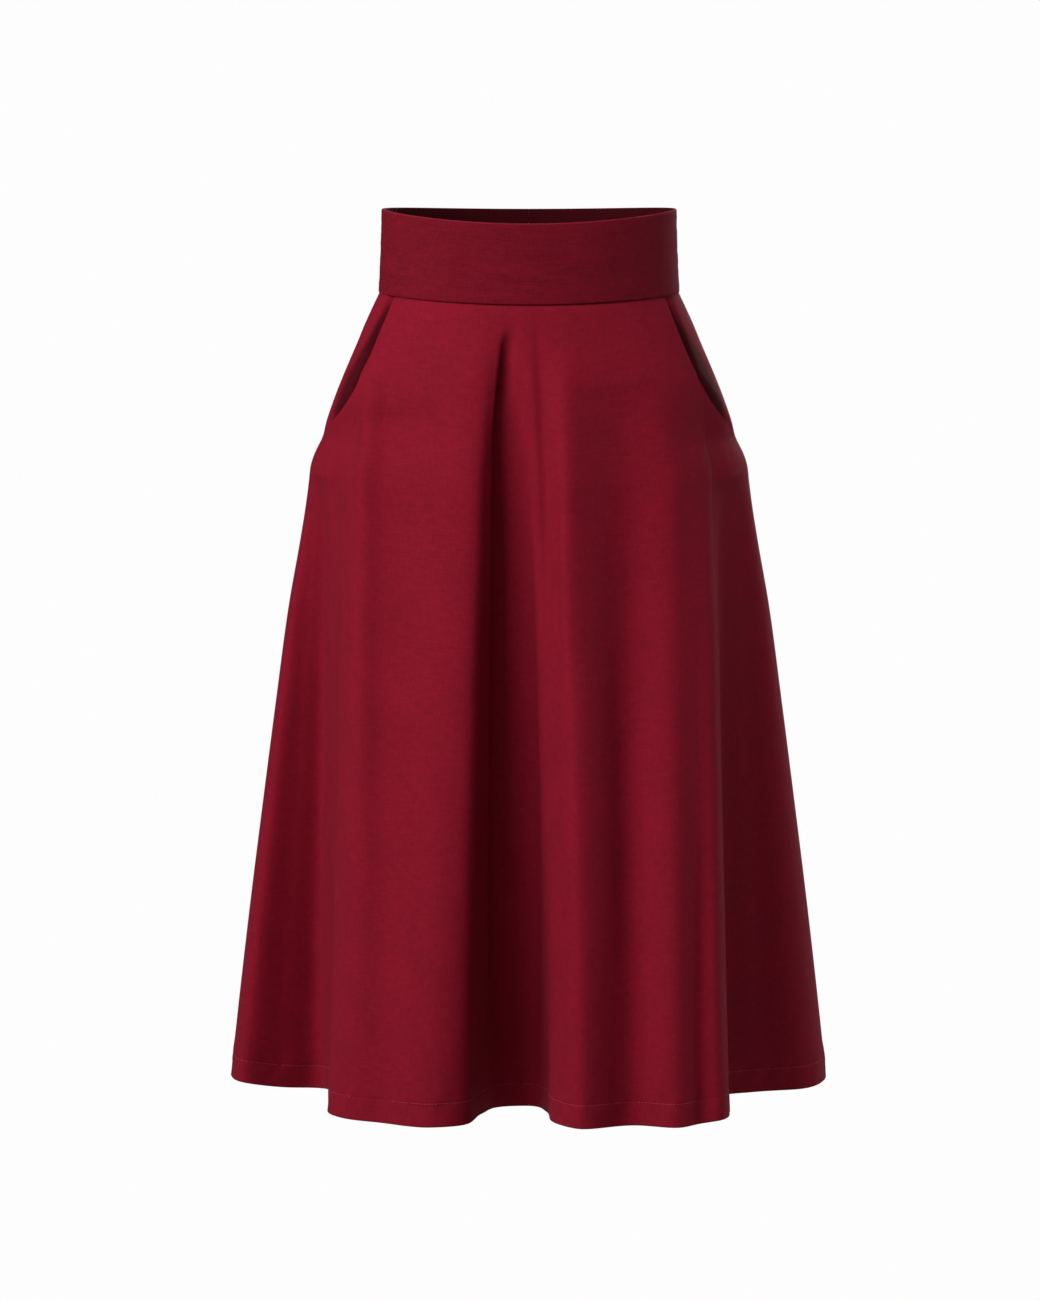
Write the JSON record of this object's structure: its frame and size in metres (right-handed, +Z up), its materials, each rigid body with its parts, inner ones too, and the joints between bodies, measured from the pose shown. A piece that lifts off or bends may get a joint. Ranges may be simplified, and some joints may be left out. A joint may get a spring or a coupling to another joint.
{
  "type": "midi skirt",
  "caption": "Worn-form flared midi skirt: fitted waistband, curved hip pockets, deep folds to a stitched hem, concealed back zip.",
  "frame": {"origin": "middle of the hollow that the waistband rings, at half the waistband's height", "axes": "+Z up towards the waistband's rim; the front faces -Y; the wearer's left is +X"},
  "size_m": [0.5015, 0.42, 0.7375],
  "materials": {
    "cloth": "matte woven cotton twill, deep burgundy red",
    "pocket_cloth": "matte thin woven pocketing, dark red",
    "zip_tape": "woven zip tape, dark red",
    "zip_metal": "satin enamel, dyed to match the cloth"
  },
  "bodies": {
    "skirt": {"front_panel": "cloth", "back_panel_left": "cloth", "back_panel_right": "cloth", "waistband_front": "cloth", "waistband_back_left": "cloth", "waistband_back_right": "cloth", "hip_piece_left": "cloth", "hip_piece_right": "cloth", "pocket_bag_left": "pocket_cloth", "pocket_bag_right": "pocket_cloth", "zip_tape_left": "zip_tape", "zip_tape_right": "zip_tape", "zip_slider": "zip_metal"},
    "zip_pull": {"zip_pull": "zip_metal"}
  },
  "joints": [
    {"name": "zip_pull_swing", "type": "hinge", "parent": "skirt", "child": "zip_pull", "pos_m": [0, 0.08717, 0.0095], "axis": [1, 0, 0], "range_deg": [0, 150]}
  ]
}
